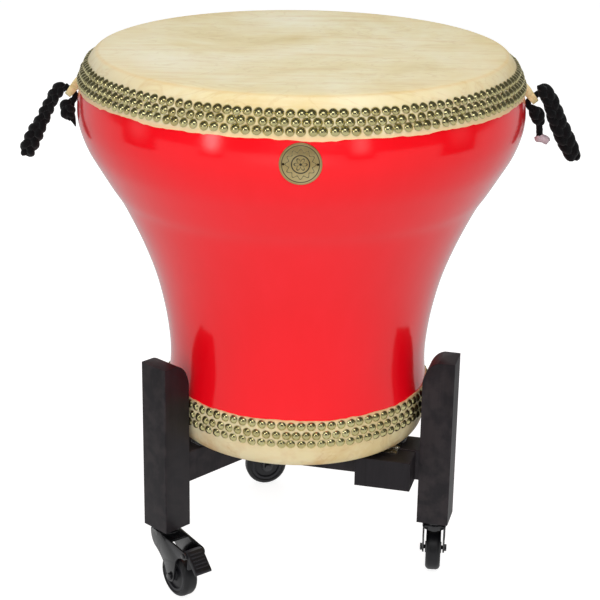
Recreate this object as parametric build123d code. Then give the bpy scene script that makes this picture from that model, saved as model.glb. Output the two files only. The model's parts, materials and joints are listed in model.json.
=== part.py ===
from build123d import *
import os
from math import asin, cos, hypot, pi, radians, sin

# A goblet-shaped drum with rawhide heads, tack rows, a round badge and two carrying ropes,
# standing on a three-armed wooden stand with posts and braked swivel casters.
# Millimetres. Origin on the floor under the drum axis, +Z up, badge towards -Y, right is +X.

os.makedirs("parts", exist_ok=True)


# ---------------------------------------------------------------- shared helpers
def write(shape, name):
    shape.label = name
    export_step(shape, os.path.join("parts", name + ".step"))


def group(items):
    return Compound(children=list(items))


def in_xz(point):
    return (point[0], 0, point[1])


def in_xy(point):
    return (point[0], point[1], 0)


def chain(start, *steps, lift=in_xz):
    """Joined edges from start. A step is an end point, or (mid point, end point) for an arc."""
    edges = []
    for step in steps:
        if isinstance(step[0], tuple):
            middle, end = step
            edges.append(ThreePointArc(lift(start), lift(middle), lift(end)))
        else:
            end = step
            edges.append(Line(lift(start), lift(end)))
        start = end
    return edges


def lathe(edges, axis=Axis.Z):
    return revolve(make_face(edges), axis, 360)


def spline_xz(points):
    return Spline(*[in_xz(p) for p in points])


def dome_arc(base_r, base_z, height, flat_r):
    """Chain step over a sphere cap from (base_r, base_z), stopping at radius flat_r."""
    ball_r = (base_r * base_r + height * height) / (2 * height)
    top_angle, base_angle = asin(flat_r / ball_r), asin(base_r / ball_r)
    return tuple((ball_r * sin(angle), base_z + height - ball_r + ball_r * cos(angle))
                 for angle in ((top_angle + base_angle) / 2, top_angle))


def place(shape, origin, normal):
    """Stand a shape's +Z along normal, keeping its +X level."""
    level = Vector(-normal[1], normal[0], 0)
    return Plane(origin=origin, x_dir=level, z_dir=normal).location * shape


def cylinder_x(radius, x, y, z, length):
    """Cylinder along X, centred on x, y, z."""
    return Location((x, y, z)) * (Rotation(0, 90, 0) * Cylinder(radius, length))


def cylinder_y(radius, x, z, y0, y1):
    """Cylinder along Y from y0 to y1."""
    return Location((x, (y0 + y1) / 2, z)) * (Rotation(90, 0, 0) * Cylinder(radius, y1 - y0))


def cylinder_z(radius, z, height):
    """Cylinder on the Z axis, centred on z."""
    return Location((0, 0, z)) * Cylinder(radius, height)


def extrude_y(face, y0, y1):
    return Location((0, y0, 0)) * extrude(face, amount=y1 - y0, dir=(0, 1, 0))


def edges_along(shape, axes):
    """Edges parallel to any of the axes named in a string such as "XZ"."""
    return [edge for edge in shape.edges()
            if any(abs(getattr(edge.tangent_at(0.5), axis)) > 0.99 for axis in axes)]


# ---------------------------------------------------------------- drum shell and skins
HEAD_Z = 733.0          # top of the playing head
DRUM_BOTTOM_Z = 207.0   # underside of the drum
SKIN_T = 1.6            # rawhide thickness
SPAN_STEPS = 3          # smoothed points per profile span

# Profiles run top to bottom: (radius, z)
TOP_SKIN_PROFILE = [
    (265.5, HEAD_Z), (271.0, 730.4), (277.4, 723.2), (284.0, 712.5),
    (289.0, 701.5), (292.5, 690.5), (293.8, 685.0)]
BOTTOM_SKIN_PROFILE = [
    (180.7, 277.0), (182.1, 264.5), (182.6, 252.0), (181.7, 240.0),
    (179.6, 229.0), (176.4, 218.6), (171.8, 211.0), (166.2, DRUM_BOTTOM_Z)]
# bare wood between the two skins
SHELL_SIDE = [
    (295.2, 668.0), (296.0, 650.0), (293.2, 632.0), (284.6, 608.0), (270.4, 582.6),
    (254.6, 556.0), (239.0, 531.0), (215.2, 480.0), (196.4, 429.0), (184.2, 378.0),
    (178.2, 335.0), (177.0, 305.0)]
# inside of the wall, running past both ends of the shell
CAVITY_TOP_Z, CAVITY_BOTTOM_Z = 760.0, 200.0
CAVITY_PROFILE = [
    (248.0, CAVITY_TOP_Z), (248.0, 728.0), (262.0, 712.0), (270.0, 695.0), (274.5, 672.0),
    (276.0, 650.0), (273.4, 632.0), (265.0, 608.0), (250.4, 582.6), (234.6, 556.0),
    (219.0, 531.0), (195.2, 480.0), (176.6, 429.0), (164.6, 378.0), (158.8, 335.0),
    (157.8, 305.0), (159.6, 277.0), (161.2, 252.0), (160.0, 235.0), (154.0, 215.0),
    (151.0, CAVITY_BOTTOM_Z)]


def smooth(points, steps):
    """Points along a Catmull-Rom curve through points, so many steps per span."""
    first, second, before_last, last = points[0], points[1], points[-2], points[-1]
    padded = [(2 * first[0] - second[0], 2 * first[1] - second[1]), *points,
              (2 * last[0] - before_last[0], 2 * last[1] - before_last[1])]
    curve = []
    for i in range(1, len(padded) - 2):
        for k in range(steps):
            t = k / steps
            curve.append(tuple(
                0.5 * (2 * p1 + (p2 - p0) * t + (2 * p0 - 5 * p1 + 4 * p2 - p3) * t * t
                       + (3 * p1 - p0 - 3 * p2 + p3) * t ** 3)
                for p0, p1, p2, p3 in zip(*padded[i - 1:i + 3])))
    curve.append(last)
    return curve


def inset(points, distance):
    """The same run of points moved inwards, square to its own direction."""
    moved = []
    for i, (r, z) in enumerate(points):
        r0, z0 = points[max(i - 1, 0)]
        r1, z1 = points[min(i + 1, len(points) - 1)]
        length = hypot(r1 - r0, z1 - z0)
        moved.append((r + (z1 - z0) / length * distance, z - (r1 - r0) / length * distance))
    return moved


top_outer = smooth(TOP_SKIN_PROFILE, SPAN_STEPS)
top_inner = inset(top_outer, SKIN_T)
top_inner[0] = (top_outer[0][0], HEAD_Z - SKIN_T)
top_inner[-1] = (top_inner[-1][0], top_outer[-1][1])
bottom_outer = smooth(BOTTOM_SKIN_PROFILE, SPAN_STEPS)
bottom_inner = inset(bottom_outer, SKIN_T)
bottom_inner[0] = (bottom_inner[0][0], bottom_outer[0][1])
bottom_inner[-1] = (bottom_outer[-1][0], DRUM_BOTTOM_Z + SKIN_T)


def solid_shell():
    """The shell before hollowing; it follows the inside of both skins."""
    outline = top_inner[::2] + SHELL_SIDE + bottom_inner[::2] + [bottom_inner[-1]]
    top, bottom = outline[0], outline[-1]
    return lathe([spline_xz(outline)] + chain(bottom, (0, bottom[1]), (0, top[1]), top))


def shell_cavity():
    return lathe(chain((0, CAVITY_TOP_Z), *CAVITY_PROFILE, (0, CAVITY_BOTTOM_Z),
                       (0, CAVITY_TOP_Z)))


def top_head_skin():
    return lathe([spline_xz(top_outer), spline_xz(top_inner)]
                 + chain(top_outer[-1], top_inner[-1])
                 + chain(top_inner[0], (0, HEAD_Z - SKIN_T), (0, HEAD_Z), top_outer[0]))


def bottom_head_skin():
    return lathe([spline_xz(bottom_outer), spline_xz(bottom_inner)]
                 + chain(bottom_outer[0], bottom_inner[0])
                 + chain(bottom_inner[-1], (0, DRUM_BOTTOM_Z + SKIN_T), (0, DRUM_BOTTOM_Z),
                         bottom_outer[-1]))


shell_body = solid_shell()
top_skin = top_head_skin()
write(shell_body - shell_cavity(), "shell")
write(top_skin, "top_head_skin")
write(bottom_head_skin(), "bottom_head_skin")

# ---------------------------------------------------------------- tacks
TACK_R = 6.0
TACK_H = 3.7            # height above the skin
TACK_SINK = 0.35        # how deep the flat underside sits in the skin
TACK_FLAT_R = 0.5       # small flat at the crown
TOP_TACKS, BOTTOM_TACKS = 140, 86   # tacks per row
# rows: (radius, z, upward tilt in degrees, phase in pitches)
TOP_ROWS = [(282.8, 714.6, 31.0, 0.0), (287.7, 704.9, 25.5, 0.5), (291.3, 695.0, 18.5, 0.0)]
BOTTOM_ROWS = [(181.6, 270.0, 5.5, 0.0), (182.5, 256.8, 1.5, 0.5), (182.2, 244.4, -4.5, 0.0)]


def tack_head():
    """Domed head with its rim on z = 0."""
    arc = dome_arc(TACK_R, 0, TACK_H + TACK_SINK, TACK_FLAT_R)
    return lathe(chain((0, 0), (TACK_R, 0), arc, (0, arc[1][1]), (0, 0)))


def tack_rows(tack, rows, count):
    tacks = []
    for row_r, row_z, tilt, phase in rows:
        out, up = cos(radians(tilt)), sin(radians(tilt))
        r, z = row_r - TACK_SINK * out, row_z - TACK_SINK * up
        for i in range(count):
            angle = 2 * pi * (i + phase) / count
            tacks.append(place(tack, (r * cos(angle), r * sin(angle), z),
                               (out * cos(angle), out * sin(angle), up)))
    return group(tacks)


tack = tack_head()
write(tack_rows(tack, TOP_ROWS, TOP_TACKS), "top_tacks")
write(tack_rows(tack, BOTTOM_ROWS, BOTTOM_TACKS), "bottom_tacks")

# ---------------------------------------------------------------- badge
BADGE_R = 25.5
BADGE_T = 1.1
BADGE_Z = 657.0
BADGE_GAP = 0.05        # between badge and shell
BADGE_BAND = [(292.2, 684.5)] + SHELL_SIDE[:5]   # shell outline behind the badge
PIN_OFFSET = 20.3       # badge pins either side of the badge centre
PIN_CIRCLE_R = 296.3    # radius that sets the pins' direction
PIN_SEAT_R = 296.55     # radius of the pins' own origin
PIN_TIP_Z, PIN_SHANK_R = -8, 0.6
PIN_HEAD_R, PIN_UNDER_Z, PIN_RIM_Z = 1.5, 0.55, 0.8
PIN_DOME_H, PIN_FLAT_R = 0.8, 0.2


def badge_band(offset, inner_r):
    """Ring from inner_r out to the shell outline moved out by offset."""
    outline = [(r + offset, z) for r, z in BADGE_BAND]
    top, bottom = outline[0], outline[-1]
    return lathe([spline_xz(outline)]
                 + chain(bottom, (inner_r, bottom[1]), (inner_r, top[1]), top))


def badge_plate():
    """A thin round plate bent to the shell."""
    outer = badge_band(BADGE_T + BADGE_GAP, 250)
    inner = badge_band(BADGE_GAP, 240)
    disc = Location((0, 0, BADGE_Z)) * (Rotation(90, 0, 0) * Cylinder(BADGE_R, 700))
    front_block = Location((0, -300, BADGE_Z)) * Box(200, 200, 200)
    return ((outer - inner) & disc) & front_block


def badge_pins():
    arc = dome_arc(PIN_HEAD_R, PIN_RIM_Z, PIN_DOME_H, PIN_FLAT_R)
    pin = lathe(chain((0, PIN_TIP_Z), (PIN_SHANK_R, PIN_TIP_Z), (PIN_SHANK_R, PIN_UNDER_Z),
                      (PIN_HEAD_R, PIN_UNDER_Z), (PIN_HEAD_R, PIN_RIM_Z), arc,
                      (0, arc[1][1]), (0, PIN_TIP_Z)))
    y = -(PIN_CIRCLE_R**2 - PIN_OFFSET**2) ** 0.5
    pins = []
    for side in (-1, 1):
        normal = (side * PIN_OFFSET / PIN_CIRCLE_R, y / PIN_CIRCLE_R, 0)
        origin = (normal[0] * PIN_SEAT_R, normal[1] * PIN_SEAT_R, BADGE_Z)
        pins.append(place(pin, origin, normal))
    return group(pins)


write(badge_plate(), "badge_plate")
write(badge_pins(), "badge_pins")

# ---------------------------------------------------------------- rope tabs and ropes
# Both sides are built at +X in the plane y = 0; the left ones are then turned over.
EYE = (306.0, 670.5)                    # rope eye (x, z)
EYE_DIR = (0.769, 0.639)                # the eye's axis, outward and up
TAB_DIR = (EYE_DIR[1], -EYE_DIR[0])     # the tab's length, outward and down
EYE_R = 5.2
TAB_W, TAB_T = 11.0, 2.5
TAB_ROOT_X, TAB_FOLD_X = -19.0, -9.0    # along the tab from the eye
NECK_R = 4.2                            # rope where it passes the tab
TURN_LEFT = Rotation(0, 0, 180)


def along_eye(distance):
    return (EYE[0] + distance * EYE_DIR[0], EYE[1] + distance * EYE_DIR[1])


EYE_OUT, EYE_IN = along_eye(12.6), along_eye(-7.5)   # ends of the straight run through the eye

# rope stations: (x, z, radius)
LEFT_LONG_TAIL = [
    (*EYE_OUT, 6.4), (323.0, 673.5, 8.6), (329.0, 664.5, 8.8), (334.5, 653.0, 8.4),
    (338.5, 645.0, 8.6), (342.5, 637.0, 9.0), (346.5, 628.5, 9.5), (355.0, 612.0, 11.0),
    (361.5, 598.0, 11.0), (366.5, 588.5, 9.5)]
LEFT_NECK_END = [(301.5, 657.5), (308.0, 651.0)]
LEFT_SHORT_TAIL = [
    (309.0, 650.0, 10.0), (308.5, 641.0, 9.7), (303.5, 632.0, 5.0), (300.5, 622.5, 2.0)]
RIGHT_LONG_TAIL = [
    (315.5, 683.0, 7.5), (323.0, 677.0, 9.5), (329.5, 668.0, 10.5), (334.0, 657.0, 10.5),
    (338.5, 646.0, 11.0), (343.5, 635.0, 11.5), (350.0, 620.0, 11.3), (357.0, 607.5, 11.3),
    (363.5, 596.0, 10.5)]
RIGHT_NECK_END = [(301.5, 658.5), (309.0, 653.0)]
TIE_TOP = (318.8, 623.8)                # end of the short tail, seated in the tie
TIE_TOP_R = 4.5
RIGHT_SHORT_TAIL = [
    (310.5, 651.0, 9.2), (314.5, 643.0, 7.8), (316.8, 634.0, 4.5), (*TIE_TOP, TIE_TOP_R)]
# domed rope end: (distance past the end, section radius), both over the end radius
ROPE_DOME = [(0.95, 0.31), (0.80, 0.60), (0.50, 0.866)]
TIE_CENTRE = (322.0, 0, 615.0)
TIE_SIZE = (19, 12, 11)


def rope_tab():
    """A folded strip around the eye, trimmed where it meets the drum."""
    fold_r = EYE_R + TAB_T
    fold_y = fold_r - 0.6
    flat = make_face(chain(
        (TAB_ROOT_X, -TAB_T), (TAB_FOLD_X, -fold_y), ((fold_r, 0), (TAB_FOLD_X, fold_y)),
        (TAB_ROOT_X, TAB_T), (TAB_ROOT_X, -TAB_T), lift=in_xy))
    body = extrude(flat, amount=TAB_W / 2, dir=(0, 0, 1), both=True)
    body = body - Cylinder(EYE_R, 40)
    frame = Plane(origin=in_xz(EYE), x_dir=in_xz(TAB_DIR), z_dir=in_xz(EYE_DIR))
    return frame.location * body - shell_body - top_skin


def rope(stations, domed=True):
    """Rope body lofted through round sections, domed at both ends if asked."""
    points = [Vector(x, 0, z) for x, z, _ in stations]
    sections = []
    for i, point in enumerate(points):
        direction = Vector(0, 0, 0)
        if i > 0:
            direction = direction + (point - points[i - 1]).normalized()
        if i < len(points) - 1:
            direction = direction + (points[i + 1] - point).normalized()
        sections.append((point, direction.normalized(), stations[i][2]))
    if domed:
        point, direction, r = sections[0]
        start = [(point - direction * (k * r), direction, q * r) for k, q in ROPE_DOME]
        point, direction, r = sections[-1]
        end = [(point + direction * (k * r), direction, q * r) for k, q in reversed(ROPE_DOME)]
        sections = start + sections + end
    rings = [Plane(origin=point, x_dir=(0, 1, 0), z_dir=direction) * Circle(r)
             for point, direction, r in sections]
    return loft(rings, ruled=True)


def whole_rope(long_tail, neck_end, short_tail):
    neck = [(*point, NECK_R) for point in [EYE_OUT, EYE_IN] + neck_end]
    body = rope(long_tail)
    body = body + rope(neck, domed=False)
    return body + rope(short_tail)


def rope_end_tie():
    """Rounded block with a round seat for the end of the right rope's short tail."""
    tie = Location(TIE_CENTRE) * Box(*TIE_SIZE)
    return fillet(tie.edges(), 3.0) - (Location(in_xz(TIE_TOP)) * Sphere(TIE_TOP_R + 0.05))


tab = rope_tab()
write(tab, "right_rope_tab")
write(TURN_LEFT * tab, "left_rope_tab")
write(TURN_LEFT * whole_rope(LEFT_LONG_TAIL, LEFT_NECK_END, LEFT_SHORT_TAIL), "left_rope")
write(whole_rope(RIGHT_LONG_TAIL, RIGHT_NECK_END, RIGHT_SHORT_TAIL), "right_rope")
write(rope_end_tie(), "right_rope_end_tie")

# ---------------------------------------------------------------- stand
# Each arm is built in its own frame: x outward, y to the left, then turned to its direction.
ARM_ANGLES = {"front_right": -14.0, "front_left": -134.0, "rear": 106.0}
ARM_OFFSET = 41.0       # each arm runs this far to the clockwise side of the drum axis
ARM_W = 45.0
ARM_Z0, ARM_Z1 = 159.0, 203.0
ARM_MID_Z = (ARM_Z0 + ARM_Z1) / 2
ARM_INNER_Y = -(ARM_OFFSET - ARM_W / 2)
ARM_OUTER_Y = -(ARM_OFFSET + ARM_W / 2)
JOINT_GAP = 0.05
EDGE_R = 1.2            # rounding of the arm and block edges
CASTER_H = 95.0
POST_X0, POST_X1 = 189.0, 232.0      # inner and outer faces of the posts
POST_MID_X = (POST_X0 + POST_X1) / 2
POST_W = 46.0
POST_Z0, POST_Z1 = CASTER_H, 334.0
POST_CAP_R, POST_CAP_H = 23.0, 38.0  # curved inner top corner
DOWEL_R, DOWEL_L, DOWEL_DZ = 5.0, 56.0, 11.0
HUB_SCREW_X = 58.0
HUB_SCREW_SINK = 3.6
PAD_X, PAD_L, PAD_W = 140.0, 50.0, 22.0
PAD_DY = 14.5           # pad centre from the arm's inner face
PAD_TOP = DRUM_BOTTOM_Z - 0.1
PAD_BOTTOM = ARM_Z1 + 0.04

BLOCK_X0, BLOCK_X1, BLOCK_W, BLOCK_H = 108.0, 184.0, 41.0, 42.0
BLOCK_GAP = 0.3         # between arm and block
BLOCK_DROP = 1.0        # block top below the arm top
HINGE_X0, HINGE_X1 = 112.0, 160.0
HINGE_L = HINGE_X1 - HINGE_X0
HINGE_MID_X = (HINGE_X0 + HINGE_X1) / 2
HINGE_Z = ARM_Z1 + 0.9
KNUCKLE_R, KNUCKLES = 2.5, 5
KNUCKLE_L = HINGE_L / KNUCKLES
LEAF_T, LEAF_W = 1.5, 16.0
HINGE_PIN_R = 1.25
HINGE_SCREWS = 3
HINGE_SCREW_DY = 10.5   # screw line from the hinge axis
RUN = 0.05              # running clearance, radial


def butt_x(y):
    """x where the inner face of the arm turned by -120 degrees crosses the line y."""
    return (0.5 * y + ARM_INNER_Y) / sin(radians(60))


def hinge_seat(side):
    """Recess for one leaf: side +1 is on the arm, -1 on the block."""
    return Location((HINGE_MID_X, ARM_OUTER_Y + side * LEAF_W / 2, ARM_Z1)) * Box(
        HINGE_L + 3.0, LEAF_W + 1.0, 4.0)


def stand_arm(hinged):
    inner_end = butt_x(ARM_INNER_Y) + JOINT_GAP
    outer_end = butt_x(ARM_OUTER_Y) + JOINT_GAP
    base = make_face(Polyline(
        (inner_end, ARM_INNER_Y, ARM_Z0), (POST_X0 - JOINT_GAP, ARM_INNER_Y, ARM_Z0),
        (POST_X0 - JOINT_GAP, ARM_OUTER_Y, ARM_Z0), (outer_end, ARM_OUTER_Y, ARM_Z0),
        close=True))
    arm = extrude(base, amount=ARM_Z1 - ARM_Z0, dir=(0, 0, 1))
    arm = fillet(edges_along(arm, "X"), EDGE_R)
    if hinged:
        arm = arm - hinge_seat(1)
    return arm


def stand_post():
    post = Location((POST_MID_X, -ARM_OFFSET, (POST_Z0 + POST_Z1) / 2)) * Box(
        POST_X1 - POST_X0, POST_W, POST_Z1 - POST_Z0)
    # the cutter overshoots the inner and top faces
    side_x, top_z = POST_X0 - 1, POST_Z1 + 0.2
    curve = [(side_x, POST_Z1 - POST_CAP_H), (POST_X0 + 0.5, POST_Z1 - POST_CAP_H * 0.45),
             (POST_X0 + POST_CAP_R * 0.35, POST_Z1 - 2.0), (POST_X0 + POST_CAP_R, top_z)]
    corner = make_face([Bezier(*[in_xz(p) for p in curve])]
                       + chain(curve[-1], (side_x, top_z), curve[0]))
    cutter = extrude(corner, amount=60, dir=(0, 1, 0), both=True)
    post = post - Location((0, -ARM_OFFSET, 0)) * cutter
    outer_edges = [e for e in edges_along(post, "Z") if e.center().X > POST_X1 - 1]
    return fillet(outer_edges, 1.5)


def hub_screw():
    """Runs from the arm's outer side, through it, into the end of the arm butting on it."""
    screw = lathe(chain((0, -64), (2.5, -59), (2.5, 0), (4.8, 2.6), (4.8, 3.4), (0, 3.4),
                        (0, -64)))
    frame = Plane(origin=(HUB_SCREW_X, ARM_OUTER_Y + HUB_SCREW_SINK, ARM_MID_Z),
                  x_dir=(1, 0, 0), z_dir=(0, -1, 0))
    return frame.location * screw


def felt_pad():
    pad = Location((PAD_X, ARM_INNER_Y - PAD_DY, (PAD_BOTTOM + PAD_TOP) / 2)) * Box(
        PAD_L, PAD_W, PAD_TOP - PAD_BOTTOM)
    return fillet(edges_along(pad, "Z"), 4.0)


dowels, screws, pads = [], [], []
for arm_name, arm_angle in ARM_ANGLES.items():
    turn = Rotation(0, 0, arm_angle)
    write(turn * stand_arm(hinged=arm_name == "front_right"), "arm_" + arm_name)
    write(turn * stand_post(), "post_" + arm_name)
    for dz in (-DOWEL_DZ, DOWEL_DZ):
        dowels.append(turn * cylinder_x(DOWEL_R, POST_X0, -ARM_OFFSET, ARM_MID_Z + dz, DOWEL_L))
    screws.append(turn * hub_screw())
    pads.append(turn * felt_pad())
write(group(dowels), "arm_dowels")
write(group(screws), "hub_screws")
write(group(pads), "felt_pads")


# ---------------------------------------------------------------- hinged block
def hinged_block():
    """Block beside the front right arm, on its outer side."""
    block = Location(((BLOCK_X0 + BLOCK_X1) / 2, ARM_OUTER_Y - BLOCK_GAP - BLOCK_W / 2,
                      ARM_Z1 - BLOCK_DROP - BLOCK_H / 2)) * Box(
        BLOCK_X1 - BLOCK_X0, BLOCK_W, BLOCK_H)
    block = fillet(edges_along(block, "XZ"), EDGE_R)
    return block - hinge_seat(-1)


def hinge_cylinder(radius, x, length):
    return cylinder_x(radius, x, ARM_OUTER_Y, HINGE_Z, length)


def hinge_screw_places(side):
    for i in range(HINGE_SCREWS):
        yield HINGE_X0 + (i + 0.5) * HINGE_L / HINGE_SCREWS, ARM_OUTER_Y + side * HINGE_SCREW_DY


def hinge_leaf(side, own_knuckles):
    """Side +1 is the leaf on the arm, -1 the leaf on the block."""
    plate_z = ARM_Z1 - LEAF_T / 2
    leaf = Location((HINGE_MID_X, ARM_OUTER_Y + side * (LEAF_W / 2 + 0.1), plate_z)) * Box(
        HINGE_L, LEAF_W - 0.4, LEAF_T)
    for i in range(KNUCKLES):
        x = HINGE_X0 + (i + 0.5) * KNUCKLE_L
        if i in own_knuckles:
            web = Location((x, ARM_OUTER_Y + side * 1.6, plate_z)) * Box(
                KNUCKLE_L - 0.3, 3.2, LEAF_T)
            leaf = leaf + hinge_cylinder(KNUCKLE_R, x, KNUCKLE_L - 0.3) + web
        else:
            # clear the other leaf's knuckle
            leaf = leaf - hinge_cylinder(KNUCKLE_R + 0.25, x, KNUCKLE_L)
    leaf = leaf - hinge_cylinder(HINGE_PIN_R + RUN, HINGE_MID_X, 80)
    for x, y in hinge_screw_places(side):
        leaf = leaf - Location((x, y, ARM_Z1 - 5)) * Cylinder(1.4, 20)
    return leaf


def hinge_pin():
    pin = hinge_cylinder(HINGE_PIN_R, HINGE_MID_X, HINGE_L + 1.0)
    for x in (HINGE_X0 - 0.9, HINGE_X1 + 0.9):
        pin = pin + hinge_cylinder(1.9, x, 0.9)
    return pin


def hinge_screw():
    return lathe(chain((0, -12), (1.3, -9), (1.3, 0.02), (2.6, 0.02), (2.3, 0.6), (1.2, 0.85),
                       (0, 0.9), (0, -12)))


block_turn = Rotation(0, 0, ARM_ANGLES["front_right"])
write(block_turn * hinged_block(), "hinged_block")
write(block_turn * hinge_pin(), "hinge_pin")
for side, side_name, own_knuckles in ((1, "arm", (0, 2, 4)), (-1, "block", (1, 3))):
    write(block_turn * hinge_leaf(side, own_knuckles), "hinge_leaf_" + side_name)
    write(group(block_turn * (Location((x, y, ARM_Z1)) * hinge_screw())
                for x, y in hinge_screw_places(side)), "hinge_screws_" + side_name)

# ---------------------------------------------------------------- casters
# Built with the swivel axis on Z and the wheel trailing towards +X.
TRAIL_ANGLES = {"front_left": -52.0, "front_right": 85.0, "rear": -165.0}
TRAIL = 30.0            # wheel axle from the swivel axis
WHEEL_R, WHEEL_W = 31.5, 21.0
TYRE_INNER_R = 24.0
RIM_Y = 9.6             # half width of the rim
AXLE_R = 3.0
STEM_R = 5.0
CHEEK_IN, CHEEK_T = 13.2, 2.6
HEAD_Y = CHEEK_IN + CHEEK_T + 0.05      # inner face of bolt and pin heads
BRAKE_X, BRAKE_Z = 62.0, 76.0           # brake pivot
BRAKE_PIN_R = 2.0
PEDAL_Y = 12.6                          # half width of the pedal
PEDAL_TOP, PEDAL_END = (67.0, 82.6), (87.6, 60.4)    # ends of its sloping face (x, z)
# (radius, centre z, height) of the stem's stacked cylinders
STEM_CYLINDERS = [(STEM_R, 110.2, 44.0), (15.5, CASTER_H - 2.6, 5.1), (STEM_R, 83.0, 16.0),
                  (7.0, 76.5, 3.0)]
# Outlines are chain steps in (x, z); a nested pair is an arc
CHEEK_OUTLINE = [
    (-16.4, 87.6), (10.0, 87.6), (64.0, 81.6), ((68.4, 76.5), (64.5, 71.0)),
    ((49.0, 66.5), (42.0, 56.0)), (37.6, 31.0), ((30.0, 23.9), (22.4, 31.0)),
    ((9.0, 52.0), (-8.0, 64.0)), ((-15.0, 74.0), (-16.4, 87.6))]
FORK_TOP_OUTLINE = [
    (-14.0, 87.6), (10.0, 87.6), (30.0, 85.3), (30.0, 82.6), (10.0, 84.9), (-14.0, 84.9),
    (-14.0, 87.6)]
PEDAL_OUTLINE = [
    (59.5, 81.6), PEDAL_TOP, PEDAL_END, ((88.6, 57.2), (86.0, 55.4)), (83.6, 57.0),
    (67.4, 74.0), (65.0, 71.0), (58.4, 71.2), (59.5, 81.6)]
SHOE_OUTLINE = [(59.0, 74.0), (65.0, 74.0), (62.6, 52.0), (58.6, 52.0), (59.0, 74.0)]
# Wheel outlines are chain steps in (radius, y)
HUB_OUTLINE = [
    (AXLE_R + RUN, 11.6), (8.0, 11.6), (8.6, 8.6), (18.6, 7.2), (19.6, RIM_Y),
    (TYRE_INNER_R, RIM_Y), (TYRE_INNER_R, -RIM_Y), (19.6, -RIM_Y), (18.6, -7.2),
    (8.6, -8.6), (8.0, -11.6), (AXLE_R + RUN, -11.6), (AXLE_R + RUN, 11.6)]
TYRE_OUTLINE = [
    (TYRE_INNER_R, -RIM_Y), (TYRE_INNER_R, RIM_Y), (25.5, WHEEL_W / 2),
    ((29.9, 8.4), (WHEEL_R, 4.6)), (WHEEL_R, -4.6), ((29.9, -8.4), (25.5, -WHEEL_W / 2)),
    (TYRE_INNER_R, -RIM_Y)]


def caster_stem():
    stem, *rest = [cylinder_z(*sizes) for sizes in STEM_CYLINDERS]
    for piece in rest:
        stem = stem + piece
    return stem


def caster_race():
    return Location((0, 0, 89.0)) * (Cylinder(13.6, 1.4) - Cylinder(STEM_R + RUN, 4))


def bore_for_stem(shape):
    shape = shape - cylinder_z(STEM_R + RUN, 84.0, 20)
    return shape - cylinder_z(7.6, 79.4, 3.2)


def caster_fork():
    """Crown disc, two cheeks reaching back to the brake pivot, and a top plate between them."""
    fork = bore_for_stem(cylinder_z(16.6, 84.4, 7.0))
    cheek = make_face(chain(*CHEEK_OUTLINE))
    for y in (CHEEK_IN, -CHEEK_IN - CHEEK_T):
        fork = fork + extrude_y(cheek, y, y + CHEEK_T)
    top = make_face(chain(*FORK_TOP_OUTLINE))
    fork = bore_for_stem(fork + extrude_y(top, -CHEEK_IN - 0.5, CHEEK_IN + 0.5))
    return (fork - cylinder_y(AXLE_R, TRAIL, WHEEL_R, -30, 30)
            - cylinder_y(BRAKE_PIN_R, BRAKE_X, BRAKE_Z, -30, 30))


def caster_axle():
    axle = cylinder_y(AXLE_R, TRAIL, WHEEL_R, -18.5, 18.5)
    for y0, y1 in ((HEAD_Y, 18.9), (-18.9, -HEAD_Y)):
        face = Plane(origin=(TRAIL, y0, WHEEL_R), x_dir=(1, 0, 0), z_dir=(0, 1, 0))
        axle = axle + extrude(face * RegularPolygon(5.2, 6), amount=y1 - y0)
    return axle


def wheel_part(outline):
    return Location((TRAIL, 0, WHEEL_R)) * lathe(chain(*outline, lift=in_xy), Axis.Y)


def caster_brake():
    """Ribbed pedal with a shoe reaching down behind the tyre."""
    pedal = extrude_y(make_face(chain(*PEDAL_OUTLINE)), -PEDAL_Y, PEDAL_Y)
    for i in range(5):
        share = 0.16 + 0.165 * i
        x, z = [a + (b - a) * share for a, b in zip(PEDAL_TOP, PEDAL_END)]
        face = Plane(origin=(x, 0, z), x_dir=(0, 1, 0), z_dir=(0.733, 0, 0.680))
        pedal = pedal + face.location * Box(19.0, 1.5, 2.0)
    pedal = pedal + extrude_y(make_face(chain(*SHOE_OUTLINE)), -7.5, 7.5)
    return pedal - cylinder_y(BRAKE_PIN_R + RUN, BRAKE_X, BRAKE_Z, -30, 30)


def caster_brake_pin():
    pin = cylinder_y(BRAKE_PIN_R, BRAKE_X, BRAKE_Z, -17.0, 17.0)
    for y0, y1 in ((HEAD_Y, 17.4), (-17.4, -HEAD_Y)):
        pin = pin + cylinder_y(3.4, BRAKE_X, BRAKE_Z, y0, y1)
    return pin


caster_parts = {
    "stem": caster_stem(), "race": caster_race(), "fork": caster_fork(),
    "axle": caster_axle(), "hub": wheel_part(HUB_OUTLINE), "tyre": wheel_part(TYRE_OUTLINE),
    "brake": caster_brake(), "brake_pin": caster_brake_pin()}
for arm_name, arm_angle in ARM_ANGLES.items():
    out_x, out_y = cos(radians(arm_angle)), sin(radians(arm_angle))
    under_post = Location((POST_MID_X * out_x + ARM_OFFSET * out_y,
                           POST_MID_X * out_y - ARM_OFFSET * out_x, 0),
                          (0, 0, TRAIL_ANGLES[arm_name]))
    for part_name, part in caster_parts.items():
        write(under_post * part, f"caster_{arm_name}_{part_name}")
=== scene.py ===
"""A red lacquered floor drum on a caster stand: detailed meshes and finishes over its CAD frame.

The drum stands upright on the Z axis with the floor at z = 0. Its badge and the camera are on
the -Y side, and a plaited rope hangs from a strap on each side, left at -X and right at +X.
Shapes are worked out in millimetres and turned into metres when a mesh is made; distances in
materials, lights and the camera are in metres.
"""
import json
import math

import bmesh
import bpy
import numpy as np
from mathutils import Matrix, Vector

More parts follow.
